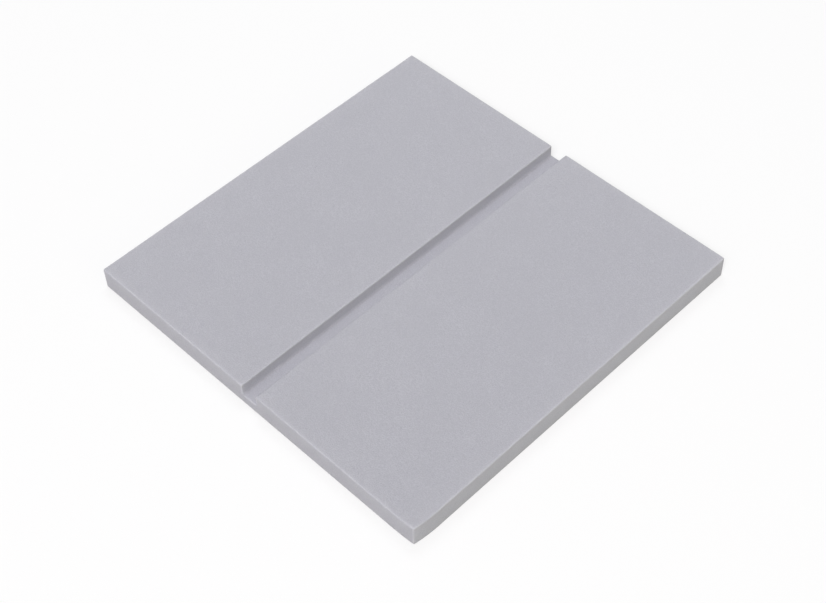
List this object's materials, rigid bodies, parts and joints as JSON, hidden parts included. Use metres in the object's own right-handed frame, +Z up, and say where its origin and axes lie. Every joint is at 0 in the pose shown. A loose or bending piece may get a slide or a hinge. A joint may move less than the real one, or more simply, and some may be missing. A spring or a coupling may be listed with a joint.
{
  "type": "acoustic panel",
  "caption": "Square slab of light grey open-cell foam with a straight square-cut groove across its face, glued edge to edge on a wall or ceiling to soak up sound.",
  "frame": {"origin": "middle of the flat back face, on which the panel lies", "axes": "+X along the groove, +Y across it, +Z up out of the grooved face"},
  "size_m": [0.5, 0.5, 0.03],
  "materials": {
    "foam": "knife-cut open-cell foam, fine even pores, fully matt, light grey with a faint cool cast"
  },
  "bodies": {
    "root": {"grooved_panel": "foam"}
  },
  "joints": []
}
